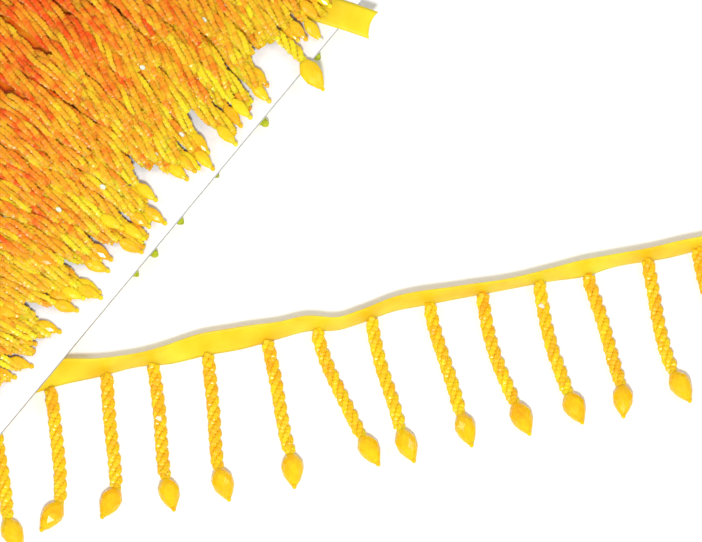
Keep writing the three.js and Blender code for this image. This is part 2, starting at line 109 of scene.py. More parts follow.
# The line where the lowest turn ends, the places of its foremost drops, and the notches between its clumps
LOWEST_EDGE = [
    (-19.5, 2.7), (-13, 2.7), (-6.5, 0.2), (0, 3.7), (6.5, 5.7), (12.7, 8.6), (18.1, 5.6), (24.5, 3.8),
    (32.8, 8.2), (39.9, 3.7), (41.1, 19.2), (44.6, 17), (47, 11), (49, 3.5), (53.6, 4.5), (57.1, 0),
    (60.1, 4.7), (61.9, 21.1), (65.6, 4.1), (70.1, 6.7), (71.3, 15.2), (74.5, 4.7), (78.1, -0.5), (86.4, 3.4),
    (90.5, -0.1), (94.8, 5.5), (96.8, 17), (98.7, 22.4), (102.1, 14), (107.4, 4), (111, 3.2), (115.2, -0.7),
    (118.9, 4.3), (121.3, 21), (124.4, 13.5), (126.9, -1.3), (133.1, 1.8), (137.3, 0.9), (142.8, 4.3),
    (145.9, -0.9), (150.6, 4.4), (152.6, 8), (155, 14.2), (166, 9), (169.8, 3), (173.5, -0.6), (177.7, 4.4),
    (182.5, 2.7), (190.5, 6.7),
]
LEADING_TIPS = (
    -13, -6.5, 0, 6.5, 12.7, 18.1, 24.5, 31.5, 39.5, 49, 53.6, 57.1, 58.4, 66.3, 69.5, 78.1, 86.4, 90.5, 95.1,
    107.4, 111, 115.2, 118.5, 126.9, 133.1, 137.3, 145.9, 149.8, 168.5, 170.2, 173.5, 178.5, 184.5,
)
NOTCHES = (42.2, 62.4, 72, 99.8, 121.8, 156)
NOTCH_PUSH, NOTCH_REACH = 2.7, 3.6
WHOLE_SHARE_LOWEST, WHOLE_SHARE = 0.12, 0.03

# The strand that hangs over the card's lower edge: its root along the card, its start and its tip
OVERHANG_TIP = (160.9, -11.2)
OVERHANG_ROOT, OVERHANG_FROM = 165.6, 44.0
OVERHANG_DROOP, OVERHANG_DROP_RADIUS = 2.6, 3.6

# The turns under the card
BACK_LEFT, BACK_RIGHT, BACK_LOW, BACK_HIGH = -20.0, 190.0, 14.0, 108.0
BACK_STEP, BACK_ROWS, BACK_RELIEF = 1.05, 86, 1.5
FLAT_LEFT, FLAT_RIGHT, FLAT_LOW, FLAT_HIGH = 70.0, 170.0, 40.0, 85.0
RAISED_TO, RAISED_WITHIN = 5.7, 20.0
RIM_RISE, RIM_WITHIN, RIGHT_RISE = 3.2, 26.0, 2.4
RELIEF_PITCH, RELIEF_BEAD = 4.6, 4.0

# The strands at their lower rim, raised at the left, and the tips of the drops that peek out
UNDER_LEFT, UNDER_RIGHT, UNDER_PITCH, UNDER_FROM = -14.0, 186.0, 4.4, 36.0
RAISED_LEFT_OF, RAISED_HEIGHT, RESTING_HEIGHT = 56.0, 6.0, 5.2
PEEKING = [(73.3, -1.2), (82.7, -2.2), (97.1, -1.8), (117.4, -0.9), (141.9, -2.6), (171.3, -2.0)]

# The tape's flat inner end, as places of its middle line on the card
TAPE_END = [
    (167.0, 58.0, 0.3), (170.0, 48.0, 0.3), (175.0, 33.0, 0.3), (180.3, 18.0, 0.3), (184.8, 5.0, 0.3),
    (187.3, -2.0, 0.2), (189.8, -8.8, -0.5),
]
CUT_HOLLOW = 1.2
TAPE_END_LENGTH, TAPE_END_STATIONS = 70.0, 90
TAPE_ROWS = 9
TAPE_END_LIFT, LIFTED_FROM, LIFTED_TO = 1.3, 154.0, 160.0

# The loose tape: its lower edge on the table, and its lean in degrees from lying flat
LOOSE_TAPE = [
    (-58, 45.5, 4.2, 0), (-50, 45, 2.6, 0), (-40, 44.5, 0.3, 0), (-20, 45.2, 0, 3), (-2, 48.6, 0, 10),
    (9, 52, 0, 22), (21, 56.2, 0, 48), (33, 59.2, 0, 72), (46, 62.8, 0, 84), (57, 63.8, 0, 71),
    (69, 66.7, 0, 61), (80, 68.8, 0, 62), (93, 72.7, 0, 77), (102, 75.3, 0, 80), (113, 75.9, 0, 86),
    (120, 78.2, 0, 84), (132, 82.7, 0, 84), (140, 84.3, 0, 82), (154, 87.2, 0, 87), (166, 89.6, 0, 89),
    (184, 93.2, 0, 87), (194, 94.6, 0, 77), (204, 98, 0, 86), (224, 101.7, 0, 83), (236, 105.2, 0, 88),
    (258, 112, 0, 82),
]
LOOSE_STATIONS = 420
LOOSE_CLEARANCE = 0.25

# The loose strands: place along X, and heading in degrees at the root, the last bead and the drop
LOOSE_STRANDS = [
    (-38.5, 2, -4, 6), (-20, 4, 0, -8), (-1.7, 7, 6, 25), (16.3, 13, -4, -32), (35, 8, 1.5, -25),
    (51, 4.5, 7.5, 12), (69.3, 1.5, 8.5, 16), (88.7, 7.5, 14.5, 2), (105.7, 14, 30, 28),
    (123.7, 11.5, 16.5, 24), (143, 13, 17, 19), (160.3, 10, 22, 26), (179, 10.5, 17.5, 27),
    (195.3, 14.5, 18, -2), (215.3, 7.5, 17, 28), (232, 10, 14, 18), (250, 9, 12, 8),
]

# The photograph's frame, and the middle of its view on the table
PICTURE_WIDTH_PX, PIXELS_PER_MM = 702, 3.0
VIEW_MIDDLE = np.array([117.0, 96.2, 0.0])
VIEW_WIDTH = PICTURE_WIDTH_PX / PIXELS_PER_MM
CAMERA_ELEVATION = math.radians(70)
CAMERA_DISTANCE = 8000.0
SENSOR_WIDTH = 36

# The lights: place from the middle of the view and size in metres, and power in watts
LIGHTS = [
    ("left", (-0.3, -0.05, 0.4), 0.12, 0.36), ("right", (0.3, -0.05, 0.4), 0.12, 0.36),
    ("front", (0.0, -1.0, 1.73), 0.2, 31.5),
]
WORLD_STRENGTH = 0.4
DIFFUSE_BOUNCES, MOST_BOUNCES = 14, 18

# The floor's half width and its height, in metres
FLOOR_HALF, FLOOR_HEIGHT = 4.0, -0.0002

rng = np.random.default_rng(7)

card_low, card_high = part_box("card")
card_middle = np.array((card_low + card_high) / 2) / MM
CARD_ORIGIN = card_middle - (CARD_LEFT + CARD_RIGHT) / 2 * ALONG_U - CARD_HEIGHT / 2 * ALONG_V
CARD_ORIGIN[2] = 0.0
TABLE_ORIGIN = CARD_ORIGIN - CARD_START


def on_card(points):
    """Places given as (u, v, z) in the card's frame, moved into the shared frame."""
    points = np.asarray(points, float)
    return CARD_ORIGIN + points[..., 0:1] * ALONG_U + points[..., 1:2] * ALONG_V + points[..., 2:3] * UP


def on_table(points):
    return TABLE_ORIGIN + np.asarray(points, float)


def smoothstep(x, low, high):
    share = np.clip((x - low) / (high - low), 0, 1)
    return share * share * (3 - 2 * share)


def unit(vectors):
    return vectors / np.maximum(np.linalg.norm(vectors, axis=-1, keepdims=True), 1e-9)


def travelled(points):
    """The distance along a line at each of its points."""
    return np.concatenate([[0], np.cumsum(np.linalg.norm(np.diff(points, axis=0), axis=1))])


def across_from(axes):
    """A direction square to each axis, and level unless the axis is nearly upright."""
    return unit(np.cross(np.where(np.abs(axes[:, 2:3]) < 0.9, UP, ALONG_X), axes))


# Meshes from arrays

def new_piece(name, places, polygons, material, smooth=False, values=None, uv=None):
    """A piece from places in millimetres and polygons that all have the same number of corners."""
    mesh = bpy.data.meshes.new(name)
    count, size = polygons.shape
    corners = polygons.ravel()
    mesh.vertices.add(len(places))
    mesh.vertices.foreach_set("co", (np.asarray(places) * MM).astype(np.float32).ravel())
    mesh.loops.add(len(corners))
    mesh.loops.foreach_set("vertex_index", corners.astype(np.int32))
    mesh.polygons.add(count)
    mesh.polygons.foreach_set("loop_start", (np.arange(count) * size).astype(np.int32))
    mesh.polygons.foreach_set("use_smooth", np.full(count, smooth))
    for key, value in (values or {}).items():
        layer = mesh.attributes.new(key, "FLOAT", "POINT")
        layer.data.foreach_set("value", np.asarray(value, np.float32))
    if uv is not None:
        layer = mesh.uv_layers.new(name="tape")
        layer.data.foreach_set("uv", np.asarray(uv, np.float32)[corners].ravel())
    mesh.update(calc_edges=True)
    mesh.materials.append(material)
    piece = bpy.data.objects.new(name, mesh)
    bpy.context.scene.collection.objects.link(piece)
    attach(piece, "root")
    return piece


def turned_form(profile, sides, stagger=False):
    """A closed form turned about Z from (z, radius) rings. Returns its points and triangles."""
    points, triangles = [], []
    for r, (z, radius) in enumerate(profile):
        shift = 0.5 * (r % 2) if stagger else 0.0
        for s in range(sides):
            angle = 2 * math.pi * (s + shift) / sides
            points.append((radius * math.cos(angle), radius * math.sin(angle), z))
    for r in range(len(profile) - 1):
        for s in range(sides):
            a, b = r * sides + s, r * sides + (s + 1) % sides
            if stagger and r % 2:
                triangles += [(a, b, b + sides), (a, b + sides, a + sides)]
            else:
                triangles += [(a, b, a + sides), (b, b + sides, a + sides)]
    last = (len(profile) - 1) * sides
    for s in range(1, sides - 1):
        triangles += [(0, s + 1, s), (last, last + s, last + s + 1)]
    return np.array(points), np.array(triangles)


DROP_PROFILE = [(0, 0.4), (0.1, 0.66), (0.27, 0.94), (0.42, 1.0), (0.64, 0.88), (0.84, 0.6), (1.0, 0.3)]
DROP = turned_form(DROP_PROFILE, 8, True)
SMALL_BEAD = turned_form([(0, 0.4), (0.25, 0.9), (0.7, 0.9), (1.0, 0.4)], 8)

# A seed bead's outline as shares of its length and radius, plain in the rows and finer on loose strands
PLAIN_BEAD = [(0.0, 0.79), (0.5, 1.0)]
FINE_BEAD = [(0.0, 0.74), (0.16, 0.93), (0.38, 1.0), (0.62, 1.0), (0.84, 0.93)]


class Beadwork:
    """Gathers copies of turned forms, each with its place, axes and tone, into one mesh."""

    def __init__(self):
        self.places, self.triangles, self.tones, self.casts, self.count = [], [], [], [], 0

    def add(self, form, origins, axes, lengths, radii, tones, cast=None):
        """Copies of a form, each from its origin along its axis, with a random turn about it."""
        points, triangles = form
        origins, axes = np.atleast_2d(origins), np.atleast_2d(axes)
        number = len(origins)
        lengths, radii, tones = (np.broadcast_to(x, number) for x in (lengths, radii, tones))
        axes = unit(axes)
        across = across_from(axes)
        up = np.cross(axes, across)
        spin = rng.uniform(0, 2 * math.pi, number)[:, None]
        side = np.cos(spin) * across + np.sin(spin) * up
        other = np.cross(axes, side)
        x, y, z = (points[:, k][None, :, None] for k in range(3))
        radii, lengths = radii[:, None, None], lengths[:, None, None]
        copies = origins[:, None] + x * radii * side[:, None] + y * radii * other[:, None]
        copies = copies + z * lengths * axes[:, None]
        offsets = self.count + np.arange(number)[:, None, None] * len(points)
        self.places.append(copies.reshape(-1, 3))
        self.triangles.append((triangles[None] + offsets).reshape(-1, 3))
        self.tones.append(np.repeat(tones, len(points)))
        casts = rng.uniform(0, 1, number) if cast is None else np.full(number, cast)
        self.casts.append(np.repeat(casts, len(points)))
        self.count += number * len(points)

    def add_string(self, centres, ways, radii, tones, outline, sides):
        """A string of touching beads as one ridged tube, each bead with its own turn, tone and cast."""
        ways = unit(ways)
        across = across_from(ways)
        over = np.cross(ways, across)
        number, rings = len(centres), len(outline)
        shares = np.array([share for share, _ in outline]) - 0.5
        swell = np.array([radius for _, radius in outline])
        spin = rng.uniform(0, 2 * math.pi / sides, number)[:, None, None]
        angle = spin + 2 * math.pi * np.arange(sides)[None, None, :] / sides
        cosine, sine = np.cos(angle)[..., None], np.sin(angle)[..., None]
        out = cosine * across[:, None, None] + sine * over[:, None, None]
        middles = centres[:, None] + ways[:, None] * (shares * BEAD_STEP)[None, :, None]
        reach = (radii[:, None] * swell[None])[..., None, None]
        points = (middles[:, :, None] + out * reach).reshape(-1, 3)
        total = number * rings
        ring, side = np.meshgrid(np.arange(total - 1), np.arange(sides), indexing="ij")
        a = (ring * sides + side).ravel()
        b = (ring * sides + (side + 1) % sides).ravel()
        walls = np.concatenate([np.stack([a, b, b + sides], 1), np.stack([a, b + sides, a + sides], 1)])
        fan = np.arange(1, sides - 1)
        low = np.stack([0 * fan, fan + 1, fan], 1)
        high = np.stack([0 * fan, fan, fan + 1], 1) + (total - 1) * sides
        self.places.append(points)
        self.triangles.append(np.concatenate([walls, low, high]) + self.count)
        self.tones.append(np.repeat(tones, rings * sides))
        self.casts.append(np.repeat(rng.uniform(0, 1, number), rings * sides))
        self.count += len(points)

    def piece(self, name, material):
        values = {"tone": np.concatenate(self.tones), "cast": np.concatenate(self.casts)}
        places, triangles = np.concatenate(self.places), np.concatenate(self.triangles)
        return new_piece(name, places, triangles, material, values=values)


def walk(points, distances):
    """Places and directions at distances along a polyline, and its whole length."""
    reached = travelled(points)

    def places_at(along):
        return np.stack([np.interp(along, reached, points[:, k]) for k in range(3)], axis=1)

    ways = unit(places_at(distances + 0.8) - places_at(distances - 0.8))
    return places_at(distances), ways, reached[-1]


def rope(work, points, tone, fine=False, twist=TWIST_TURN, spread=0.1):
    """Strings of seed beads twisted round each other along a polyline, with a tone for each end."""
    _, _, whole = walk(points, np.array([0.0]))
    spacing = BEAD_STEP / math.hypot(1, 2 * math.pi * TWIST_RADIUS / twist)
    start = rng.uniform(0, 2 * math.pi)
    for string in range(STRINGS):
        along = np.arange(spacing * (0.5 + string / STRINGS), whole, spacing)
        places, ways, _ = walk(points, along)
        side = unit(np.cross(UP, ways))
        over = np.cross(ways, side)
        angle = (start + 2 * math.pi * (string / STRINGS + along / twist))[:, None]
        radius = TWIST_RADIUS * np.clip(np.minimum(along + 1.2, whole - along) / 3, 0.45, 1)[:, None]
        out = np.cos(angle) * side + np.sin(angle) * over
        turn = -np.sin(angle) * side + np.cos(angle) * over
        axes = unit(ways + turn * radius * 2 * math.pi / twist)
        sizes = BEAD_RADIUS * rng.uniform(0.92, 1.05, len(along))
        tones = np.interp(along, [0, whole], tone) + rng.uniform(-spread, spread)
        tones = tones + spread * np.sin(along / rng.uniform(3, 7) + rng.uniform(0, 6))
        tones = tones + rng.uniform(-0.05, 0.05, len(along))
        outline, sides = (FINE_BEAD, 8) if fine else (PLAIN_BEAD, 6)
        work.add_string(places + out * radius, axes, sizes, tones, outline, sides)


def drop(work, neck, way, tone, length=DROP_LENGTH, radius=DROP_RADIUS):
    """A faceted glass drop with a small bead at its tip, hanging from neck along way."""
    length = length * rng.uniform(0.96, 1.04)
    work.add(DROP, neck - 0.6 * way, way, length, radius * rng.uniform(0.94, 1.03), tone)
    work.add(SMALL_BEAD, neck + way * (length - 1.0), way, TIP_BEAD, TIP_BEAD / 2, tone)


def split_strand(points, length=DROP_LENGTH):
    """The line of a strand's beads, and the neck and direction of the drop at its end."""
    reached = travelled(points)
    beads_to = reached[-1] - length - TIP_BEAD
    neck, _, _ = walk(points, np.array([beads_to]))
    return np.concatenate([points[reached < beads_to], neck]), neck[0], unit(points[-1] - neck[0])


# Materials

# Painted shade: glass faces that look sideways or down turn olive-green, as glass edges look where light
# passes through them
PAINTED_SIDE_SHADE_COLOUR = (0.86, 0.72, 0.04)
# Painted highlights: the share of beads coloured pale as sparkles, which are also made glossier
PAINTED_SPARKLE_COLOUR = (1.0, 0.95, 0.72)
PAINTED_SPARKLE_SHARE = 0.0015
# Share of front strands with one small bead on top painted pale as a glint
PAINTED_GLINT_SHARE = 0.08
CAST_SPREAD = 0.24
# Bead colours by tone; the deep orange and red tones stand for painted shade in packed glass
GLASS_STOPS = [
    (0.0, (1.0, 0.74, 0.016)), (0.2, (1.0, 0.64, 0.016)), (0.45, (1.0, 0.47, 0.014)),
    (0.65, (1.0, 0.34, 0.012)), (0.9, (1.0, 0.18, 0.008)), (1.0, (0.97, 0.1, 0.005)),
]
SATIN_STOPS = [(0.3, (1.0, 0.76, 0.02)), (0.7, (0.97, 0.94, 0.07))]
BOARD_STOPS = [(0.3, (0.86, 0.86, 0.86)), (0.7, (0.93, 0.93, 0.925))]
# Painted shade: grey for the card's cut edges
EDGE_SHADE_STOPS = [(0.3, (0.4, 0.4, 0.42)), (0.7, (0.48, 0.48, 0.5))]
RELIEF_DEPTH = 0.1
SHADED_STOPS = [(0.0, (0.62, 0.66, 0.03)), (1.0, (0.8, 0.6, 0.02))]
DROP_STOPS = [
    (0.0, (0.96, 0.68, 0.012)), (0.3, (1.0, 0.6, 0.012)), (0.6, (1.0, 0.44, 0.01)),
    (1.0, (1.0, 0.26, 0.008)),
]


def new_material(name):
    material = bpy.data.materials.new(name)
    material.use_nodes = True
    nodes, links = material.node_tree.nodes, material.node_tree.links
    nodes.clear()
    shader = nodes.new("ShaderNodeBsdfPrincipled")
    output = nodes.new("ShaderNodeOutputMaterial")
    links.new(shader.outputs["BSDF"], output.inputs["Surface"])
    return material, nodes, links, shader


def feed(links, node, values):
    """Gives a node's inputs their values, each a plain one or a socket to link to."""
    for key, value in values.items():
        socket = node.inputs[key]
        if hasattr(value, "links"):
            links.new(value, socket)
        else:
            socket.default_value = (*value, 1) if socket.type == "RGBA" else value


def colour_ramp(nodes, links, place, stops):
    ramp = nodes.new("ShaderNodeValToRGB")
    elements = ramp.color_ramp.elements
    while len(elements) < len(stops):
        elements.new(0.5)
    for element, (position, colour) in zip(elements, stops):
        element.position = position
        element.color = (*colour, 1)
    links.new(place, ramp.inputs["Fac"])
    return ramp.outputs["Color"]


def math_node(nodes, links, operation, *values):
    node = nodes.new("ShaderNodeMath")
    node.operation = operation
    feed(links, node, dict(enumerate(values)))
    return node.outputs[0]


def vector_math(nodes, links, operation, values):
    node = nodes.new("ShaderNodeVectorMath")
    node.operation = operation
    feed(links, node, values)
    return node.outputs["Vector"]


def colour_mix(nodes, links, factor, first, second):
    mix = nodes.new("ShaderNodeMix")
    mix.data_type = "RGBA"
    feed(links, mix, {"Factor": factor, "A": first, "B": second})
    return mix.outputs["Result"]


def noise_over(nodes, links, place, scale, detail):
    noise = nodes.new("ShaderNodeTexNoise")
    feed(links, noise, {"Vector": place, "Scale": scale, "Detail": detail})
    return noise.outputs["Fac"]


def attribute(nodes, name):
    node = nodes.new("ShaderNodeAttribute")
    node.attribute_name = name
    return node.outputs["Fac"]


def facing_up(nodes, links):
    """How far a face looks up: 1 for up, 0 for sideways and -1 for down."""
    faces = nodes.new("ShaderNodeNewGeometry")
    parts = nodes.new("ShaderNodeSeparateXYZ")
    links.new(faces.outputs["Normal"], parts.inputs[0])
    return parts.outputs["Z"]


def add_relief(nodes, links, shader, height, strength):
    """Fine relief on a shader's surface."""
    bump = nodes.new("ShaderNodeBump")
    feed(links, bump, {"Height": height, "Strength": strength, "Distance": RELIEF_DEPTH * MM})
    links.new(bump.outputs["Normal"], shader.inputs["Normal"])


def let_light_through(nodes, links, shader, colour, share):
    """Mixes tinted light from behind into a material's shader."""
    translucent = nodes.new("ShaderNodeBsdfTranslucent")
    links.new(colour, translucent.inputs["Color"])
    mix = nodes.new("ShaderNodeMixShader")
    feed(links, mix, {"Fac": share, 1: shader.outputs["BSDF"], 2: translucent.outputs["BSDF"]})
    output = next(node for node in nodes if node.type == "OUTPUT_MATERIAL")
    links.new(mix.outputs["Shader"], output.inputs["Surface"])


def patches(nodes, links, amount):
    """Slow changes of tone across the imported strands, drawn out along them."""
    place = nodes.new("ShaderNodeTexCoord").outputs["Object"]
    mapping = nodes.new("ShaderNodeMapping")
    mapping.vector_type = "TEXTURE"
    feed(links, mapping, {"Vector": place, "Rotation": (0, 0, CARD_TURN), "Scale": (1.0, 1.9, 1.0)})
    noise = noise_over(nodes, links, mapping.outputs["Vector"], 320, 2)
    return math_node(nodes, links, "MULTIPLY_ADD", noise, 2 * amount, -amount)


def soften(nodes, links, shader, share):
    """Shades glass as if its faces turned part of the way up, since light spreads inside it."""
    normal = nodes.new("ShaderNodeNewGeometry").outputs["Normal"]
    scaled = vector_math(nodes, links, "SCALE", {0: normal, "Scale": 1 - share})
    raised = vector_math(nodes, links, "ADD", {0: scaled, 1: (0, 0, share)})
    links.new(vector_math(nodes, links, "NORMALIZE", {0: raised}), shader.inputs["Normal"])


def bead_tone(nodes, links, cast, patchiness):
    """A bead's tone: its own, moved a little by its cast and, where asked for, by slow patches."""
    spread = math_node(nodes, links, "MULTIPLY_ADD", cast, CAST_SPREAD, -CAST_SPREAD / 2)
    mixed = math_node(nodes, links, "ADD", attribute(nodes, "tone"), spread)
    if patchiness:
        mixed = math_node(nodes, links, "ADD", mixed, patches(nodes, links, patchiness))
    return mixed


def sideways_shade_mask(nodes, links, amount):
    """Mask of the painted side shade: from 0 on faces that look up to an amount on those that look sideways
    or down.
    """
    sideways = colour_ramp(nodes, links, facing_up(nodes, links), [(0.1, (1, 1, 1)), (0.75, (0, 0, 0))])
    return math_node(nodes, links, "MULTIPLY", sideways, amount)


def bead_glass(name, stops, painted_side_shade, translucency, roughness, softness=0.0, patchiness=0.0):
    """Glass from yellow at tone 0 to red at 1, with painted olive shade on faces that look sideways or down
    and a few beads painted pale as sparkles.
    """
    material, nodes, links, shader = new_material(name)
    cast = attribute(nodes, "cast")
    colour = colour_ramp(nodes, links, bead_tone(nodes, links, cast, patchiness), stops)
    # Painted shade: olive-green mixed in on faces that look sideways or down
    colour = colour_mix(nodes, links, sideways_shade_mask(nodes, links, painted_side_shade), colour, PAINTED_SIDE_SHADE_COLOUR)
    # Painted highlight: the beads with the highest cast turn pale, and glossier
    painted_sparkle = math_node(nodes, links, "GREATER_THAN", cast, 1 - PAINTED_SPARKLE_SHARE)
    colour = colour_mix(nodes, links, painted_sparkle, colour, PAINTED_SPARKLE_COLOUR)
    rough = math_node(nodes, links, "MULTIPLY_ADD", painted_sparkle, -0.9 * roughness, roughness)
    feed(links, shader, {
        "Base Color": colour, "Roughness": rough, "IOR": 1.5, "Specular IOR Level": 0.3,
        "Subsurface Weight": 0.5, "Subsurface Radius": (1.0, 0.35, 0.08), "Subsurface Scale": 3.0 * MM,
    })
    if softness:
        soften(nodes, links, shader, softness)
    let_light_through(nodes, links, shader, colour, translucency)
    return material


def satin():
    """Yellow satin ribbon: fine cross ribs and a soft sheen."""
    material, nodes, links, shader = new_material("satin_tape")
    uv = nodes.new("ShaderNodeUVMap")
    uv.uv_map = "tape"
    noise = noise_over(nodes, links, uv.outputs["UV"], 0.07, 3)
    colour = colour_ramp(nodes, links, noise, SATIN_STOPS)
    ribs = nodes.new("ShaderNodeTexWave")
    ribs.bands_direction = "X"
    feed(links, ribs, {"Vector": uv.outputs["UV"], "Scale": 0.9, "Distortion": 0.6})
    add_relief(nodes, links, shader, ribs.outputs["Fac"], 0.12)
    feed(links, shader, {
        "Base Color": colour, "Roughness": 0.38, "Specular IOR Level": 0.3,
        "Sheen Weight": 0.1, "Sheen Roughness": 0.3,
    })
    let_light_through(nodes, links, shader, colour, 0.5)
    return material


def board():
    """Matt white board with a faint grain, and painted shade in grey on its cut edges."""
    material, nodes, links, shader = new_material("card_board")
    noise = noise_over(nodes, links, nodes.new("ShaderNodeTexCoord").outputs["Object"], 900, 3)
    face = colour_ramp(nodes, links, noise, BOARD_STOPS)
    # Painted shade: grey for the cut edges, mixed in where faces look sideways
    painted_edge_shade = colour_ramp(nodes, links, noise, EDGE_SHADE_STOPS)
    flat = math_node(nodes, links, "ABSOLUTE", facing_up(nodes, links))
    flat = math_node(nodes, links, "GREATER_THAN", flat, 0.5)
    feed(links, shader, {"Base Color": colour_mix(nodes, links, flat, painted_edge_shade, face), "Roughness": 0.55})
    add_relief(nodes, links, shader, noise, 0.15)
    return material


GLASS = bead_glass(
    "bead_glass", GLASS_STOPS, painted_side_shade=0.4, translucency=0.2, roughness=0.26, softness=0.2)
PACKED_GLASS = bead_glass(
    "packed_bead_glass", GLASS_STOPS, painted_side_shade=0.1, translucency=0.12, roughness=0.3,
    softness=0.6, patchiness=0.45)
DROP_GLASS = bead_glass(
    "drop_glass", DROP_STOPS, painted_side_shade=0.6, translucency=0.25, roughness=0.12, patchiness=0.55)
SHADED_DROP_GLASS = bead_glass(
    "shaded_drop_glass", SHADED_STOPS, painted_side_shade=0.3, translucency=0.3, roughness=0.2)
PACKED_DROP_GLASS = bead_glass(
    "packed_drop_glass", GLASS_STOPS, painted_side_shade=0.1, translucency=0.12, roughness=0.2,
    softness=0.4, patchiness=0.3)
SATIN, BOARD = satin(), board()


# Front rows of strands

def tape_lift(u):
    """How much higher strands lie where the tape's flat end is under them."""
    return TAPE_END_LIFT * smoothstep(u, LIFTED_FROM, LIFTED_TO)


def floor_at(level, u, v):
    """Height of what the strands of one of the three whole levels lie on."""
    if level == 0:
        low = CARD_TOP + 0.1 + tape_lift(u) * smoothstep(v, -3, 3)
        over = np.maximum(0, 2 - v) / (2 - OVERHANG_TIP[1])
        climb = (SLAB_TOP + GAP - low) * smoothstep(v, CLIMB_FROM, CLIMB_TO)
        return low + climb - OVERHANG_DROOP * over * over
    ramp_from = TAPE_LOWEST + TAPE_PITCH * (level - 1) + TAPE_WIDTH + 1 + RAMP_LENGTH
    climb = smoothstep(ramp_from - v, 0, RAMP_LENGTH)
    below = floor_at(level - 1, u, np.maximum(v, UPPER_FROM)) + ROW_STEP
    return (SLAB_TOP + GAP) * (1 - climb) + below * climb


def floor_under(level, u, v):
    """Height of what the strands of a turn lie on, halfway between two levels for a turn between them."""
    whole, share = int(level), level - int(level)
    if share == 0:
        return floor_at(whole, u, v)
    return (1 - share) * floor_at(whole, u, v) + share * floor_at(whole + 1, u, v)


def leaning_at(root_u):
    lean_u, lean = np.array(LEAN).T
    return np.interp(root_u, lean_u, lean)


def depth_shade_tone(v):
    place_v, tone = np.array(DEPTH_SHADE_TONES).T
    return np.interp(v, place_v, tone)


def edge_below(u):
    """The lowest that strands reach at a place along the card."""
    edge_u, edge_v = np.array(LOWEST_EDGE, float).T
    return np.interp(u, edge_u, edge_v)


def clear_edge(u, half_width):
    """The lowest that a tip of some width reaches without filling a notch beside it."""
    return np.maximum(edge_below(u), np.maximum(edge_below(u - half_width), edge_below(u + half_width)))


def aside(u, low):
    """Strands near a notch between clumps draw away from it, the more the lower they end."""
    push = (np.sign(u - notch) * math.exp(-abs(u - notch) / NOTCH_REACH) for notch in NOTCHES)
    return u + sum(NOTCH_PUSH * share for share in push) * low


def turn_tips(level, falls):
    """Where the strands of a turn end, and which of them end in a whole drop."""
    reach = TAPE_LOWEST + TAPE_PITCH * level - STRAND_REACH
    low = 1.0 - 0.5 * min(level, 1.0)
    u = np.array([aside(fall, low) for fall in falls]) + rng.uniform(-0.8, 0.8, len(falls))
    clumps = 4 * np.sin(u / 7.3 + 2.1 * level) + 2.5 * np.sin(u / 3.1 + 5 * level)
    v = reach + 2 + clumps + rng.uniform(-3, 6, len(falls))
    if level == 0:
        v = clear_edge(u, 1.4) + rng.uniform(-0.3, 2.5, len(falls))
    v = np.maximum(v, clear_edge(u, 2.6) + 3 * level)
    whole = rng.uniform(0, 1, len(falls)) < (WHOLE_SHARE_LOWEST if level == 0 else WHOLE_SHARE)
    if level == 0:
        for tip_u in LEADING_TIPS:
            leader = int(np.argmin(np.abs(u - tip_u)))
            u[leader], v[leader], whole[leader] = tip_u, edge_below(tip_u), True
    return u, v, whole


def root_of(level):
    """Where up the card the strands of a turn leave its tape."""
    return TAPE_LOWEST + TAPE_PITCH * level - 1.0


def strand_line(level, number, root, fall, tip_u, tip_v, whole):
    """The middle line of a strand, which sways and lies a little over or under its neighbours."""
    root_v = root_of(level)
    v = np.arange(root_v, tip_v, -LINE_STEP)
    share = (root_v - v) / (root_v - tip_v)
    sway = rng.uniform(-1.4, 1.4) * np.sin(math.pi * share * rng.uniform(1.0, 2.4) + rng.uniform(0, 6))
    straight = root + (fall - root) * share ** 1.2
    u = straight + (tip_u - fall) * smoothstep(share, 0.5, 1) + sway * np.sin(math.pi * share)
    layer = (number % 2) * (2.2 if level == 0 else 1.0) + rng.uniform(-0.3, 0.5)
    layer = layer * smoothstep(share, 0.0, 0.15) * (1 - 0.5 * smoothstep(share, 0.7, 1))
    end = smoothstep(v, tip_v + 12, tip_v + 5) * (SMALL_DROP_RADIUS - STRAND_RADIUS)
    if not whole:
        end = -1.0 * smoothstep(v, tip_v + 10, tip_v)
    z = np.maximum(floor_under(level, u, v) + layer + end, CARD_TOP + 0.2) + STRAND_RADIUS
    return on_card(np.stack([u, v, z], axis=1))


def front_turn(work, drops, level, strands):
    """The strands of a turn, without the part of each that the turns above it hide."""
    pitch = (ROOT_RIGHT - ROOT_LEFT) / (strands - 1)
    roots = ROOT_LEFT + pitch * (np.arange(strands) + rng.uniform(-0.25, 0.25, strands))
    falls = roots + leaning_at(roots) * STRAND_REACH
    tips_u, tips_v, whole = turn_tips(level, falls)
    for number in range(strands):
        tip_v = tips_v[number]
        line = strand_line(level, number, roots[number], falls[number], tips_u[number], tip_v, whole[number])
        # Painted shade: the tone deepens from the tip towards the root, higher up the card
        tones = depth_shade_tone(np.array([root_of(level), tip_v])) + rng.uniform(-0.15, 0.15)
        if whole[number]:
            line, neck, way = split_strand(line, SMALL_DROP_LENGTH)
            drop(drops, neck, way, tones[1], SMALL_DROP_LENGTH, SMALL_DROP_RADIUS)
        outer = number < 2 or number > strands - 3
        hidden = 0 if outer or level == 2 else HIDDEN_SHARE
        line = line[int(len(line) * hidden):]
        start_tone = tones[0] + (tones[1] - tones[0]) * hidden
        rope(work, line, (start_tone, tones[1]), twist=rng.uniform(*ROW_TWIST), spread=0.12)
        # Painted highlight: a small bead at the highest cast, so coloured pale, on top of the strand
        if rng.uniform(0, 1) < PAINTED_GLINT_SHARE:
            painted_glint = line[int(len(line) * rng.uniform(0.1, 0.8))] + UP * (STRAND_RADIUS - 0.2)
            work.add(SMALL_BEAD, painted_glint, line[0] - line[-1], 2.0, rng.uniform(0.6, 1.0), 0.0, 1.0)


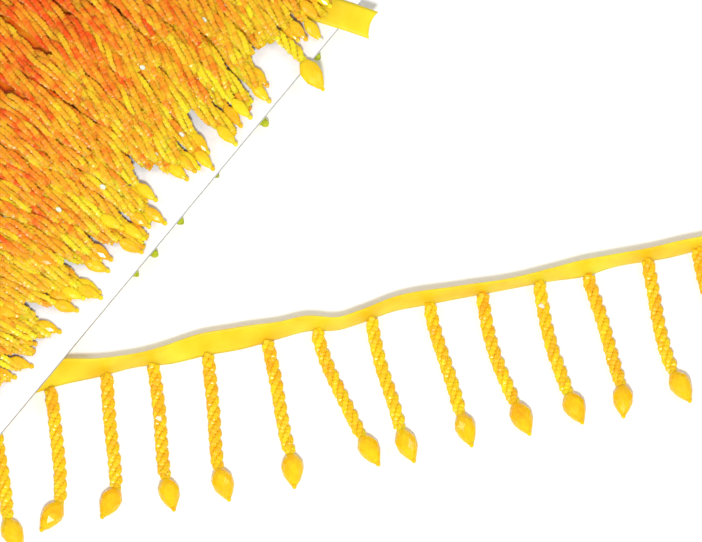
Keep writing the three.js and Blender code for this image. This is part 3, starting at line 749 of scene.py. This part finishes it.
def front_strands(node):
    drops = Beadwork()
    for level, strands in [turn[1:] for turn in TURNS if turn[0] == node]:
        work = Beadwork()
        front_turn(work, drops, level, strands)
        if level == 0:
            overhanging_strand(work, drops)
        piece = work.piece(f"bead_ropes_{node}_{int(level * 2) % 2 + 1}", PACKED_GLASS)
        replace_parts(piece, f"strands_{node}")
    piece = drops.piece(f"drops_{node}", PACKED_DROP_GLASS)
    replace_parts(piece, f"strands_{node}")


def overhanging_strand(work, drops):
    """The strand whose drop hangs over the card's lower edge."""
    tip_u, tip_v = OVERHANG_TIP
    v = np.arange(OVERHANG_FROM, tip_v, -LINE_STEP)
    u = OVERHANG_ROOT + (tip_u - OVERHANG_ROOT) * smoothstep(v, 8, tip_v)
    z = floor_under(0, u, v) + STRAND_RADIUS + 2.4 * smoothstep(v, 4, 22)
    line, neck, way = split_strand(on_card(np.stack([u, v, z], axis=1)))
    rope(work, line, (0.3, 0.1))
    drop(drops, neck, way, 0.1, radius=OVERHANG_DROP_RADIUS)


# Inner turns on the front and the turns under the card, as surfaces ridged like strands lying side by side

def strand_relief(u, v):
    """Height from 0 to 1 of strands side by side along v, each with its twist."""
    number = np.floor(u / RELIEF_PITCH)
    across = (u / RELIEF_PITCH - number) * 2 - 1
    round_top = np.sqrt(np.clip(1 - across ** 2, 0, 1))
    twist = np.sin(2 * math.pi * (v / RELIEF_BEAD + 0.5 * across + 0.37 * number))
    return round_top * (0.82 + 0.18 * twist)


def grid_polygons(columns, rows, offset=0, flip=False):
    i, j = np.meshgrid(np.arange(columns - 1), np.arange(rows - 1), indexing="ij")
    a = (i * rows + j).ravel() + offset
    quads = np.stack([a, a + rows, a + rows + 1, a + 1], axis=1)
    return quads[:, ::-1] if flip else quads


def rim_polygons(columns, rows, offset):
    """Side walls between a top grid and a bottom grid that starts at offset."""
    walls = []
    for i in range(columns - 1):
        low, high = i * rows, i * rows + rows - 1
        walls.append((low, low + offset, low + rows + offset, low + rows))
        walls.append((high, high + rows, high + rows + offset, high + offset))
    for j in range(rows - 1):
        left, right = j, (columns - 1) * rows + j
        walls.append((left, left + 1, left + 1 + offset, left + offset))
        walls.append((right, right + offset, right + 1 + offset, right + 1))
    return np.array(walls)


def closed_polygons(columns, rows):
    """Faces of a thin closed body: a top grid, the bottom grid after it, and the walls between them."""
    count = columns * rows
    bottom = grid_polygons(columns, rows, count, True)
    return np.concatenate([grid_polygons(columns, rows), bottom, rim_polygons(columns, rows, count)])


def slab_piece(name, us, low_v, high_v, rows, top, bottom, material, tone):
    """A thin closed body between two surfaces, each given by its height at places on the card."""
    u, share = np.meshgrid(us, np.linspace(0, 1, rows), indexing="ij")
    v = low_v + (high_v - low_v) * share
    faces = [np.stack([u, v, height(u, v) + 0 * u], axis=-1).reshape(-1, 3) for height in (top, bottom)]
    places = on_card(np.concatenate(faces))
    values = {"tone": np.full(len(places), tone), "cast": np.full(len(places), 0.5)}
    return new_piece(name, places, closed_polygons(len(us), rows), material, values=values)


def inner_turns():
    us = np.arange(INNER_LEFT, INNER_RIGHT + 0.01, INNER_STEP)
    share = np.linspace(0, 1, INNER_ROWS)
    edge = smoothstep(share, 0, 0.05) * smoothstep(1 - share, 0, 0.05)

    def top(u, v):
        return floor_under(0, u, v) - GAP - INNER_RELIEF * (1 - strand_relief(u, v)) * edge

    def bottom(u, v):
        return CARD_TOP + GAP + tape_lift(u)

    # Painted shade: a deep orange tone for these turns, which show only in the shaded gaps between strands
    piece = slab_piece(
        "inner_turns_front", us, INNER_LOW, INNER_HIGH, INNER_ROWS, top, bottom, PACKED_GLASS, 0.85)
    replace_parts(piece, "front_turns")


def packed_turns(node, level, low_v, high_v):
    """The turns packed under a level's strands, of which only glints show between them."""
    us = np.arange(ROOT_LEFT + 4, ROOT_RIGHT - 4, INNER_STEP)
    rows = int(high_v - low_v)

    def top(u, v):
        return floor_under(level, u, v) - PACKED_TOP - PACKED_RELIEF * (1 - strand_relief(u, v))

    def bottom(u, v):
        return floor_under(level, u, v) - PACKED_BOTTOM

    # Painted shade: a deep tone, deeper for each level, for what shows in the gaps between strands
    name, tone = f"packed_turns_{node}", 0.65 + 0.1 * level
    piece = slab_piece(name, us, low_v, high_v, rows, top, bottom, PACKED_GLASS, tone)
    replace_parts(piece, f"strands_{node}")


def back_under(u, v):
    """The underside of the turns under the card: flat where it rests, and rising towards its rims."""
    out_u = np.maximum(np.maximum(FLAT_LEFT - u, u - FLAT_RIGHT), 0)
    out_v = np.maximum(np.maximum(FLAT_LOW - v, v - FLAT_HIGH), 0)
    raised = RAISED_TO * np.clip((FLAT_LEFT - u) / RAISED_WITHIN, 0, 1)
    rim = RIM_RISE * smoothstep(out_v, 0, RIM_WITHIN)
    rim = rim + RIGHT_RISE * smoothstep(u - FLAT_RIGHT, 0, RAISED_WITHIN)
    return np.where(out_u + out_v == 0, 0.0, np.maximum(raised, 0.3 + rim))


def back_turns():
    us = np.arange(BACK_LEFT, BACK_RIGHT + 0.01, BACK_STEP)

    def top(u, v):
        return CARD_UNDER - GAP

    def bottom(u, v):
        height = back_under(u, v) + BACK_RELIEF * (1 - strand_relief(u, v))
        return np.minimum(height, CARD_UNDER - GAP - 0.4)

    # Painted shade: a deep orange tone for the buried layers under the card
    piece = slab_piece("turns_under_card", us, BACK_LOW, BACK_HIGH, BACK_ROWS, top, bottom, GLASS, 0.6)
    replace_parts(piece, "back_turns")


def strands_under_card():
    """The strands at the lower rim of the turns under the card, a few of whose drops peek out."""
    work, drops = Beadwork(), Beadwork()
    for u in np.arange(UNDER_LEFT, UNDER_RIGHT, UNDER_PITCH):
        raised = u < RAISED_LEFT_OF
        peek_u, peek_v = min(PEEKING, key=lambda place: abs(u - place[0]))
        peeks = abs(u - peek_u) < UNDER_PITCH / 2
        tip = 9.0 + rng.uniform(0, 4) if raised else (peek_v if peeks else rng.uniform(2.5, 8))
        v = np.arange(UNDER_FROM, tip, -LINE_STEP)
        z = np.full_like(v, RAISED_HEIGHT) if raised else RESTING_HEIGHT - 1.2 * smoothstep(v, 16, 2)
        across = u + 0.8 * np.sin(v / 9 + u)
        if peeks:
            across = across + (peek_u - across) * smoothstep(v, 30, 8)
        line = on_card(np.stack([across, v, z], axis=1))
        if not raised:
            line, neck, way = split_strand(line)
            drop(drops, neck, way, 0.05)
            if peeks:
                drops.add(SMALL_BEAD, neck + way * (DROP_LENGTH - 2.2), way, 3.0, 1.5, 0.0)
        rope(work, line, (0.35, 0.25))
    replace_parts(work.piece("ropes_under_card", GLASS), "back_turns")
    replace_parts(drops.piece("drops_under_card", SHADED_DROP_GLASS), "back_turns")


# Tapes

def tape_piece(name, lower, across, out, ripple):
    """A ribbon from rows of its lower edge, its way across and its way out of its face."""
    shares = np.linspace(0, 1, TAPE_ROWS)
    along = travelled(lower)
    bulge = ripple(along[:, None], shares[None, :])
    faces = []
    for offset in (TAPE_THICKNESS, 0.0):
        sheet = lower[:, None] + across[:, None] * (shares * TAPE_WIDTH)[None, :, None]
        faces.append((sheet + out[:, None] * (offset + bulge)[..., None]).reshape(-1, 3))
    return satin_piece(name, faces, along, shares), along[-1]


def satin_piece(name, faces, along, shares):
    """A closed ribbon from its two faces, with satin laid along it."""
    uv = np.stack(np.broadcast_arrays(along[:, None], shares[None, :] * TAPE_WIDTH), axis=-1).reshape(-1, 2)
    polygons = closed_polygons(len(along), len(shares))
    uv = np.concatenate([uv, uv])
    return new_piece(name, np.concatenate(faces), polygons, SATIN, smooth=True, uv=uv)


def through(rows, count):
    """A smooth line through rows of numbers, in even steps over the distance of their first two."""
    rows = np.asarray(rows, float)
    chord = travelled(rows[:, :2])
    slopes = np.gradient(rows, chord, axis=0)
    at = np.linspace(0, chord[-1], count)
    k = np.clip(np.searchsorted(chord, at) - 1, 0, len(chord) - 2)
    span = (chord[k + 1] - chord[k])[:, None]
    t = (at[:, None] - chord[k][:, None]) / span
    h00, h10 = 2 * t ** 3 - 3 * t ** 2 + 1, t ** 3 - 2 * t ** 2 + t
    h01, h11 = -2 * t ** 3 + 3 * t ** 2, t ** 3 - t ** 2
    return h00 * rows[k] + h10 * span * slopes[k] + h01 * rows[k + 1] + h11 * span * slopes[k + 1]


LOOSE_LINE = through(LOOSE_TAPE, LOOSE_STATIONS)
LOOSE_LINE[:, 2] = np.maximum(LOOSE_LINE[:, 2], 0)


def loose_frames():
    """Along the loose tape: the way behind it, across it and out of its face, and its lean."""
    heading = unit(np.gradient(LOOSE_LINE[:, :3] * np.array([1, 1, 0]), axis=0))
    back = np.cross(UP, heading)
    lean = np.radians(np.clip(LOOSE_LINE[:, 3], 0, 90))[:, None]
    across = back * np.cos(lean) + UP * np.sin(lean)
    out = -back * np.sin(lean) + UP * np.cos(lean)
    return back, across, out, lean[:, 0]


def loose_tape():
    """The loose tape, leaning on its lower edge, and its length."""
    _, across, out, _ = loose_frames()
    lower = on_table(LOOSE_LINE[:, :3]) + LOOSE_CLEARANCE * out

    def ripple(along, share):
        return 0.25 * np.sin(along / 5.1) * share * np.sin(along / 17) + 0.25 * np.sin(math.pi * share)

    piece, length = tape_piece("loose_satin_tape", lower, across, out, ripple)
    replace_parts(piece, "loose_tape")
    return piece, length


def tape_end():
    """The tape's flat inner end on the card, cut a little hollow."""
    line = through(TAPE_END, TAPE_END_STATIONS)
    line[:, 2] += CARD_TOP
    heading = unit(np.gradient(line * np.array([1, 1, 0]), axis=0))
    across_uv = np.stack([-heading[:, 1], heading[:, 0], 0 * heading[:, 0]], axis=1)
    shares = np.linspace(0, 1, TAPE_ROWS)
    stations = np.arange(TAPE_END_STATIONS)
    hollow = CUT_HOLLOW * (1 - (2 * shares - 1) ** 2)
    near_end = smoothstep(stations / (TAPE_END_STATIONS - 1), 0.9, 1)[:, None]
    lift = 0.2 * np.sin(stations / 9.0)[:, None] + 0.15 * np.sin(math.pi * shares)[None]
    faces = []
    for offset in (TAPE_THICKNESS + 0.15, 0.15):
        sheet = line[:, None] + across_uv[:, None] * ((shares - 0.5) * TAPE_WIDTH)[None, :, None]
        sheet = sheet - heading[:, None] * (near_end * hollow[None])[..., None]
        sheet[..., 2] += offset + lift
        faces.append(on_card(sheet).reshape(-1, 3))
    piece = satin_piece("flat_tape_end", faces, np.linspace(0, TAPE_END_LENGTH, TAPE_END_STATIONS), shares)
    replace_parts(piece, "tape_end")
    return piece


def loose_strands():
    """The strands that hang from the loose tape and lie on the table, each ending in a drop."""
    back, _, _, lean = loose_frames()
    work, drops = Beadwork(), Beadwork()
    for x, root_way, end_way, drop_way in LOOSE_STRANDS:
        k = int(np.argmin(np.abs(LOOSE_LINE[:, 0] - x)))
        start = LOOSE_LINE[k, :3] - back[k] * (TAPE_THICKNESS * math.sin(lean[k]) + 0.3)
        distances = np.arange(0, BEADS_LENGTH + DROP_LENGTH + TIP_BEAD + 0.01, LINE_STEP)
        share = np.clip(distances / BEADS_LENGTH, 0, 1)
        degrees = root_way + (end_way - root_way) * share
        degrees = degrees + (drop_way - end_way) * smoothstep(distances, BEADS_LENGTH - 1, BEADS_LENGTH + 2)
        turn = np.radians(degrees + 3 * np.sin(distances / 6.5 + x))
        steps = np.stack([np.sin(turn), -np.cos(turn), 0 * turn], axis=1) * LINE_STEP
        places = start + np.cumsum(steps, axis=0)
        swelling = smoothstep(distances, BEADS_LENGTH - 6, BEADS_LENGTH + 3)
        rest = STRAND_RADIUS + (DROP_RADIUS - STRAND_RADIUS) * swelling
        places[:, 2] = rest + 1.2 * (1 - smoothstep(distances, 0, 5))
        line, neck, way = split_strand(on_table(places))
        rope(work, line, (0.26, 0.2), fine=True, spread=0.08)
        drop(drops, neck, way, 0.2)
    pieces = [work.piece("loose_bead_ropes", GLASS), drops.piece("loose_drops", DROP_GLASS)]
    for piece in pieces:
        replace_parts(piece, "loose_strands")
    return pieces


def bend(corner_u, corner_z, radius, first_degrees):
    """Places round a quarter turn of the tape at one of the card's sides."""
    turns = np.radians(np.linspace(first_degrees, first_degrees - 90, BEND_STATIONS))
    return [(corner_u + radius * math.cos(turn), corner_z + radius * math.sin(turn)) for turn in turns]


def header_path(layer):
    """A layer of wound tape seen edge on: from under the card's left, over it, to under its right."""
    grow = LAYER_GAP + layer * LAYER_STEP
    left, right = CARD_LEFT - GAP - grow, CARD_RIGHT + GAP + grow
    low, high = CARD_UNDER - GAP - grow * UNDER_SHARE, SLAB_TOP + GAP + grow
    radius = SIDE_BEND_RADIUS + grow
    path = [(BACK_LEFT - 1.0, low)]
    path += bend(left + radius, low + radius, radius, 270)
    path += bend(left + radius, high - radius, radius, 180)
    for u in np.linspace(left + radius + 6, right - radius - 6, BAND_STATIONS):
        path.append((u, high + 0.12 * math.sin(u / 7 + layer)))
    path += bend(right - radius, high - radius, radius, 90)
    path += bend(right - radius, low + radius, radius, 0)
    return np.array(path + [(BACK_RIGHT + 1.0, low)])


def header(name, tape_v):
    """A band of wound tape in layers: over the front, round the card's sides and a little way under."""
    shares = np.linspace(0, 1, HEADER_ROWS)
    polygons, places, uvs, length = [], [], [], 0.0
    for layer in range(HEADER_LAYERS):
        path = header_path(layer)
        ways = unit(np.gradient(path, axis=0))
        out = np.stack([-ways[:, 1], ways[:, 0]], axis=1)
        along = travelled(path)
        shift = rng.uniform(-0.4, 0.4)
        for offset in (LAYER_THICKNESS, 0.0):
            u, z = np.repeat(path + out * offset, HEADER_ROWS, axis=0).T
            level_v = np.tile(tape_v + shift + shares * TAPE_WIDTH, len(path))
            places.append(np.stack([u, level_v + 0.25 * np.sin(u / 31 + layer), z], axis=1))
            across = np.tile(shares * TAPE_WIDTH, len(path))
            uvs.append(np.stack([np.repeat(along, HEADER_ROWS), across], axis=1))
        polygons.append(closed_polygons(len(path), HEADER_ROWS) + 2 * layer * len(path) * HEADER_ROWS)
        length += along[-1]
    uv = np.concatenate(uvs)
    places, polygons = on_card(np.concatenate(places)), np.concatenate(polygons)
    piece = new_piece(f"wound_tape_{name}", places, polygons, SATIN, smooth=True, uv=uv)
    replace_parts(piece, f"header_{name}")


def card():
    """The card is the CAD's own solid, with board for its look."""
    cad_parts["card"].data.materials.clear()
    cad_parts["card"].data.materials.append(BOARD)


# Stage, lights and camera

def stage():
    """A white floor just under the part."""
    low, high, height = -FLOOR_HALF, FLOOR_HALF, FLOOR_HEIGHT
    floor = bpy.data.meshes.new("floor")
    corners = [(low, low, height), (high, low, height), (high, high, height), (low, high, height)]
    floor.from_pydata(corners, [], [(0, 1, 2, 3)])
    material, _, links, shader = new_material("floor_white")
    feed(links, shader, {"Base Color": (0.93, 0.93, 0.93), "Roughness": 0.6})
    floor.materials.append(material)
    plane = bpy.data.objects.new("floor", floor)
    bpy.context.scene.collection.objects.link(plane)


def surroundings():
    """Even white light from all round, and enough bounces for it to reach between the strands."""
    world = bpy.data.worlds.new("studio")
    world.use_nodes = True
    background = world.node_tree.nodes["Background"]
    background.inputs["Color"].default_value = (1, 1, 1, 1)
    background.inputs["Strength"].default_value = WORLD_STRENGTH
    bpy.context.scene.world = world
    bpy.context.scene.view_settings.view_transform = "Standard"
    bpy.context.scene.cycles.diffuse_bounces = DIFFUSE_BOUNCES
    bpy.context.scene.cycles.max_bounces = MOST_BOUNCES


def area_light(name, place, aim, size, power):
    data = bpy.data.lights.new(name, "AREA")
    data.size = size
    data.energy = power
    light = bpy.data.objects.new(name, data)
    light.location = place
    light.rotation_euler = (Vector(aim) - Vector(place)).to_track_quat("-Z", "Y").to_euler()
    bpy.context.scene.collection.objects.link(light)


def lights():
    middle = on_table(VIEW_MIDDLE) * MM
    for name, place, size, power in LIGHTS:
        area_light(name, middle + place, middle, size, power)


def camera():
    data = bpy.data.cameras.new("camera")
    data.sensor_width = SENSOR_WIDTH
    data.lens = SENSOR_WIDTH * CAMERA_DISTANCE / VIEW_WIDTH
    data.clip_start, data.clip_end = 0.1, 40
    eye = bpy.data.objects.new("camera", data)
    back = np.array([0, -math.cos(CAMERA_ELEVATION), math.sin(CAMERA_ELEVATION)])
    aim = on_table(VIEW_MIDDLE)
    eye.location = (aim + back * CAMERA_DISTANCE) * MM
    eye.rotation_euler = Vector(-back).to_track_quat("-Z", "Y").to_euler()
    bpy.context.scene.collection.objects.link(eye)
    bpy.context.scene.camera = eye


for name, tape_v in HEADERS:
    front_strands(name)
    header(name, tape_v)
inner_turns()
for node, level, low_v, high_v in PACKED:
    packed_turns(node, level, low_v, high_v)
back_turns()
strands_under_card()
tape, tape_length = loose_tape()
strands = loose_strands()
end = tape_end()
card()
stage()
surroundings()
lights()
camera()
